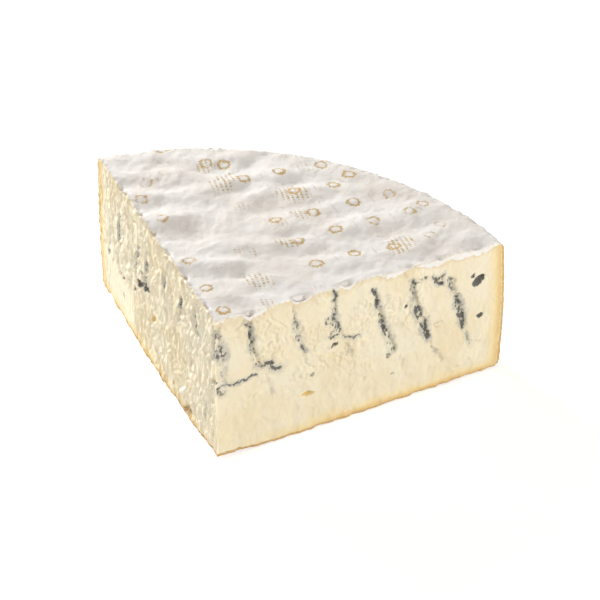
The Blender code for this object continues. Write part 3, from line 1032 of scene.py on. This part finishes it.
class Nodes:
    """Short ways to add and join shader nodes in one material."""

    def __init__(self, name):
        self.material = bpy.data.materials.new(name)
        self.material.use_nodes = True
        self.tree = self.material.node_tree
        self.shader = self.tree.nodes["Principled BSDF"]

    def join(self, source, target):
        if isinstance(source, (int, float, tuple)):
            target.default_value = source
        else:
            self.tree.links.new(source, target)

    def place(self):
        return self.tree.nodes.new("ShaderNodeTexCoord").outputs["Object"]

    def layer(self, name):
        node = self.tree.nodes.new("ShaderNodeAttribute")
        node.attribute_name = name
        return node.outputs["Fac"]

    def math(self, operation, first, second=0.0, third=0.0):
        node = self.tree.nodes.new("ShaderNodeMath")
        node.operation = operation
        for source, socket in zip((first, second, third), node.inputs):
            self.join(source, socket)
        return node.outputs[0]

    def plus(self, first, second):
        return self.math("ADD", first, second)

    def times(self, first, second):
        return self.math("MULTIPLY", first, second)

    def noise(self, scale, detail=3.0, vector=None, roughness=0.5, distortion=0.0):
        node = self.tree.nodes.new("ShaderNodeTexNoise")
        node.inputs["Scale"].default_value = scale
        node.inputs["Detail"].default_value = detail
        node.inputs["Roughness"].default_value = roughness
        node.inputs["Distortion"].default_value = distortion
        self.join(vector or self.place(), node.inputs["Vector"])
        return node.outputs["Fac"]

    def stretched(self, scale, turn=0.0):
        node = self.tree.nodes.new("ShaderNodeMapping")
        node.inputs["Scale"].default_value = scale
        node.inputs["Rotation"].default_value = (0, 0, turn)
        self.join(self.place(), node.inputs["Vector"])
        return node.outputs["Vector"]

    def ramp(self, value, low_edge, high_edge):
        node = self.tree.nodes.new("ShaderNodeMapRange")
        node.interpolation_type = "SMOOTHSTEP"
        node.inputs["From Min"].default_value = low_edge
        node.inputs["From Max"].default_value = high_edge
        self.join(value, node.inputs["Value"])
        return node.outputs["Result"]

    def mix(self, share, first, second):
        node = self.tree.nodes.new("ShaderNodeMix")
        node.data_type = "RGBA"
        self.join(share, node.inputs["Factor"])
        colours = [s for s in node.inputs if s.type == "RGBA"]
        self.join(first, colours[0])
        self.join(second, colours[1])
        return [s for s in node.outputs if s.type == "RGBA"][0]

    def bump(self, height, distance, strength=1.0, normal=None):
        node = self.tree.nodes.new("ShaderNodeBump")
        node.inputs["Distance"].default_value = distance
        node.inputs["Strength"].default_value = strength
        self.join(height, node.inputs["Height"])
        if normal is not None:
            self.join(normal, node.inputs["Normal"])
        return node.outputs["Normal"]


def paste_material():
    n = Nodes("blue_paste")
    broad = n.noise(55, 3)
    curd = n.noise(230, 4, roughness=0.6)
    smear = n.noise(1.0, 4, n.stretched((420, 420, 120)), 0.6)
    fine = n.noise(1500, 3, roughness=0.6)

    tone = n.plus(n.times(broad, 0.6), n.times(curd, 0.4))
    colour = n.mix(n.ramp(tone, 0.36, 0.66), IVORY_LIGHT, IVORY)
    colour = n.mix(n.times(n.ramp(broad, 0.5, 0.7), 0.22), colour, IVORY_DEEP)

    wander = n.times(n.math("SUBTRACT", curd, 0.5), 0.55)
    rim = n.ramp(n.plus(n.layer("rim_near"), n.times(wander, 0.5)), 0.15, 1.05)
    foot = n.ramp(n.plus(n.layer("base_near"), wander), 0.2, 1.1)
    crown = n.ramp(n.plus(n.layer("top_near"), n.times(wander, 1.6)), 0.2, 1.2)
    colour = n.mix(n.times(rim, 0.9), colour, YELLOW)
    colour = n.mix(n.times(foot, 0.92), colour, YELLOW)
    edge = n.math("MAXIMUM", n.layer("rim_near"), n.layer("base_near"))
    edge = n.ramp(n.plus(edge, n.times(wander, 0.25)), 0.66, 1.08)
    colour = n.mix(n.times(edge, 0.97), colour, GOLD)
    colour = n.mix(n.times(crown, 0.42), colour, CROWN_TAN)

    ragged = n.times(n.math("SUBTRACT", fine, 0.5), 0.7)
    stain = n.ramp(n.plus(n.layer("stain"), ragged), 0.15, 0.95)
    colour = n.mix(n.times(stain, 0.78), colour, STAIN)
    amber = n.ramp(n.plus(n.layer("amber"), ragged), 0.3, 0.9)
    colour = n.mix(n.times(amber, 0.8), colour, AMBER)
    mould = n.ramp(n.plus(n.layer("mould"), ragged), 0.22, 0.66)
    flecks = n.ramp(n.noise(2300, 2), 0.50, 0.66)
    mould_colour = n.mix(n.times(flecks, 0.45), MOULD, MOULD_PALE)
    colour = n.mix(n.times(mould, 0.90), colour, mould_colour)
    torn = n.ramp(n.layer("torn_rind"), 0.3, 0.8)
    colour = n.mix(torn, colour, TORN_RIND)
    colour = n.mix(n.times(n.layer("flap"), 0.7), colour, CURD_WHITE)
    draped = n.ramp(n.plus(n.layer("draped"), n.times(ragged, 0.5)), 0.35, 0.65)
    colour = n.mix(draped, colour, RIND_WHITE)
    n.join(colour, n.shader.inputs["Base Color"])

    rough = n.plus(0.46, n.times(curd, 0.16))
    n.join(n.plus(rough, n.times(mould, 0.25)), n.shader.inputs["Roughness"])
    n.shader.inputs["Specular IOR Level"].default_value = 0.35
    n.shader.inputs["Subsurface Weight"].default_value = 0.16
    n.shader.inputs["Subsurface Radius"].default_value = (1.0, 0.72, 0.38)
    n.shader.inputs["Subsurface Scale"].default_value = 0.8 * MM
    normal = n.bump(smear, 0.10 * MM, 0.08)
    normal = n.bump(curd, 0.35 * MM, 0.5, normal)
    normal = n.bump(fine, 0.06 * MM, 0.6, normal)
    n.join(normal, n.shader.inputs["Normal"])
    return n.material


def rind_material():
    n = Nodes("white_rind")
    broad = n.noise(60, 3)
    felt = n.noise(520, 4, roughness=0.65)
    fine = n.noise(1900, 3, roughness=0.6)

    colour = n.mix(n.ramp(broad, 0.35, 0.68), RIND_WHITE, RIND_SHADE)
    rings = ring_marks(n, felt)
    colour = n.mix(n.times(rings, 0.95), colour, RIND_TAN)
    dots = dot_marks(n, felt)
    colour = n.mix(n.times(dots, 0.9), colour, RIND_TAN)
    specks = n.ramp(n.noise(330, 2), 0.735, 0.78)
    colour = n.mix(n.times(specks, 0.4), colour, RIND_TAN)

    low_part = n.math("SUBTRACT", 1.0, n.layer("crown"))
    blotch = n.ramp(n.noise(210, 5, roughness=0.7), 0.30, 0.62)
    golden = n.times(low_part, n.plus(0.58, n.times(blotch, 0.38)))
    colour = n.mix(golden, colour, RIND_GOLD)
    edge = n.ramp(n.plus(n.layer("cut_edge"), n.times(felt, 0.2)), 0.4, 0.9)
    colour = n.mix(n.times(edge, 0.85), colour, RIND_GOLD)
    under = n.plus(n.layer("crown_edge"), n.times(n.math("SUBTRACT", felt, 0.5), 2.2))
    colour = n.mix(n.times(n.ramp(under, 0.35, 1.0), 0.75), colour, CROWN_EDGE)
    torn = n.ramp(n.layer("torn_rind"), 0.3, 0.8)
    colour = n.mix(torn, colour, TORN_RIND)
    n.join(colour, n.shader.inputs["Base Color"])

    n.join(n.plus(0.74, n.times(felt, 0.18)), n.shader.inputs["Roughness"])
    n.shader.inputs["Specular IOR Level"].default_value = 0.2
    n.shader.inputs["Sheen Weight"].default_value = 0.12
    n.shader.inputs["Subsurface Weight"].default_value = 0.12
    n.shader.inputs["Subsurface Radius"].default_value = (1.0, 0.8, 0.6)
    n.shader.inputs["Subsurface Scale"].default_value = 1.2 * MM
    marks = n.math("MAXIMUM", rings, dots)
    normal = n.bump(felt, 0.38 * MM, 0.6)
    normal = n.bump(fine, 0.05 * MM, 0.6, normal)
    normal = n.bump(n.math("SUBTRACT", 1.0, marks), 0.22 * MM, 0.7, normal)
    n.join(normal, n.shader.inputs["Normal"])
    return n.material


def ring_marks(n, felt):
    """Ragged rings of small petals round each ring centre."""
    radius = 1.95
    petals = 9
    x, y = n.layer("ring_x"), n.layer("ring_y")
    away = n.math("SQRT", n.plus(n.times(x, x), n.times(y, y)))
    turn = n.times(n.math("ARCTAN2", y, x), petals)
    wander = n.times(n.math("SUBTRACT", n.noise(260, 3), 0.5), 2.6)
    petal = n.times(n.math("COSINE", n.plus(turn, wander)), 0.17)
    uneven = n.times(n.math("SUBTRACT", felt, 0.5), 2.6)
    drift = n.plus(uneven, n.times(wander, 0.35))
    shifted = n.plus(n.plus(away, petal), drift)
    off = n.math("ABSOLUTE", n.math("SUBTRACT", shifted, radius))
    line = n.ramp(off, 0.74, 0.12)
    gaps = n.ramp(n.plus(n.noise(420, 3), n.times(n.layer("ring"), 0.40)), 0.48, 0.86)
    return n.math("MINIMUM", n.times(n.times(line, gaps), 1.35), 1.0)


def dot_marks(n, felt):
    """Rows of short dashes left by a draining mesh."""
    row_pitch = 1.65 * MM
    dash_pitch = 1.25 * MM
    separate = n.tree.nodes.new("ShaderNodeSeparateXYZ")
    n.join(n.stretched((1, 1, 1), math.radians(57)), separate.inputs[0])
    wander = n.times(n.math("SUBTRACT", n.noise(150, 3), 0.5), 5.0)
    dash = n.times(separate.outputs[0], 2 * math.pi / dash_pitch)
    row = n.times(separate.outputs[1], 2 * math.pi / row_pitch)
    dash = n.math("COSINE", n.plus(dash, wander))
    row = n.math("COSINE", n.plus(row, n.times(wander, 0.5)))
    both = n.plus(n.times(dash, 0.42), n.times(row, 0.58))
    shaped = n.plus(both, n.times(n.math("SUBTRACT", felt, 0.5), 3.2))
    strength = n.layer("dots")
    line = n.ramp(n.plus(shaped, n.times(strength, 0.35)), 0.42, 0.95)
    return n.times(line, n.ramp(strength, 0.05, 0.75))


# ---- The scene -----------------------------------------------------------------------------------
CAMERA_AZIMUTH = math.radians(18.63)
CAMERA_ELEVATION = math.radians(33.62)
CAMERA_DISTANCE = 1.0477
CAMERA_TARGET = (0.00721, 0.06634, 0.025)
LENS = 180.0


def add_camera():
    back = Vector((math.sin(CAMERA_AZIMUTH) * math.cos(CAMERA_ELEVATION),
                   -math.cos(CAMERA_AZIMUTH) * math.cos(CAMERA_ELEVATION),
                   math.sin(CAMERA_ELEVATION)))
    target = Vector(CAMERA_TARGET) + Vector(TIP)
    data = bpy.data.cameras.new("camera")
    data.lens = LENS
    data.clip_end = 20
    camera = bpy.data.objects.new("camera", data)
    camera.location = target + back * CAMERA_DISTANCE
    camera.rotation_euler = back.to_track_quat("Z", "Y").to_euler()
    bpy.context.scene.collection.objects.link(camera)
    bpy.context.scene.camera = camera


def add_lamp(name, place, aim, size, power, colour=(1, 1, 1)):
    data = bpy.data.lights.new(name, "AREA")
    data.shape = "DISK"
    data.size = size
    data.energy = power
    data.color = colour
    lamp = bpy.data.objects.new(name, data)
    lamp.location = place
    lamp.rotation_euler = (Vector(place) - Vector(aim)).to_track_quat("Z", "Y").to_euler()
    bpy.context.scene.collection.objects.link(lamp)


def background_rays(tree):
    """1 for the rays that show the background itself, 0 for those that light the wedge."""
    rays = tree.nodes.new("ShaderNodeLightPath")
    seen = rays.outputs["Is Camera Ray"]
    for name in ("Is Glossy Ray", "Is Transmission Ray"):
        either = tree.nodes.new("ShaderNodeMath")
        either.operation = "MAXIMUM"
        tree.links.new(seen, either.inputs[0])
        tree.links.new(rays.outputs[name], either.inputs[1])
        seen = either.outputs[0]
    return seen


def add_lights():
    aim = (0, 0, 0.03)
    add_lamp("key", (-0.93, 0.55, 0.53), aim, 0.28, 16.5)
    add_lamp("side_right", (1.05, -0.14, 0.34), aim, 0.4, 6.4, (1, 0.985, 0.96))
    add_lamp("fill_right", (0.6, -1.0, 0.30), aim, 0.7, 2.4, (1, 0.985, 0.96))
    add_lamp("fill_left", (-1.0, -0.60, 0.26), aim, 0.8, 4.2, (0.985, 0.99, 1))
    world = bpy.data.worlds.new("studio")
    bpy.context.scene.world = world
    world.use_nodes = True
    tree = world.node_tree
    ambient = tree.nodes["Background"]
    ambient.inputs["Color"].default_value = (1, 0.965, 0.925, 1)
    ambient.inputs["Strength"].default_value = 0.225
    backdrop = tree.nodes.new("ShaderNodeBackground")
    backdrop.inputs["Color"].default_value = (1, 1, 1, 1)
    backdrop.inputs["Strength"].default_value = 1.0
    either = tree.nodes.new("ShaderNodeMixShader")
    tree.links.new(background_rays(tree), either.inputs["Fac"])
    tree.links.new(ambient.outputs[0], either.inputs[1])
    tree.links.new(backdrop.outputs[0], either.inputs[2])
    tree.links.new(either.outputs[0], tree.nodes["World Output"].inputs["Surface"])


def add_floor():
    """A white floor that keeps the wedge's soft shadow."""
    mesh = bpy.data.meshes.new("floor")
    shape = bmesh.new()
    bmesh.ops.create_grid(shape, x_segments=1, y_segments=1, size=3.0)
    shape.to_mesh(mesh)
    shape.free()
    floor = bpy.data.objects.new("floor", mesh)
    floor.location.z = -0.0002
    bpy.context.scene.collection.objects.link(floor)
    n = Nodes("floor_white")
    n.shader.inputs["Base Color"].default_value = (0.86, 0.86, 0.86, 1)
    n.shader.inputs["Roughness"].default_value = 0.9
    n.shader.inputs["Specular IOR Level"].default_value = 0.0
    n.join(n.times(background_rays(n.tree), 0.55), n.shader.inputs["Emission Strength"])
    n.shader.inputs["Emission Color"].default_value = (1, 1, 1, 1)
    mesh.materials.append(n.material)


PASTE_LAYERS = ("draped", "flap", "mould", "stain", "amber", "torn_rind", "rim_near", "base_near",
                "top_near")
RIND_LAYERS = ("crown_edge", "ring_x", "ring_y", "ring", "dots", "crown", "cut_edge", "torn_rind")


def build_wedge():
    faces = {side: cut_face(side) for side in (RIGHT, LEFT)}
    paste = make_paste(faces).object("paste", PASTE_LAYERS)
    paste.data.materials.append(paste_material())
    rind = make_rind(faces).object("rind", RIND_LAYERS)
    rind.data.materials.append(rind_material())
    for piece in (paste, rind):
        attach(piece, "root")
        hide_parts("cheese_wedge")


build_wedge()
add_camera()
add_lights()
add_floor()
bpy.context.scene.view_settings.view_transform = "Standard"
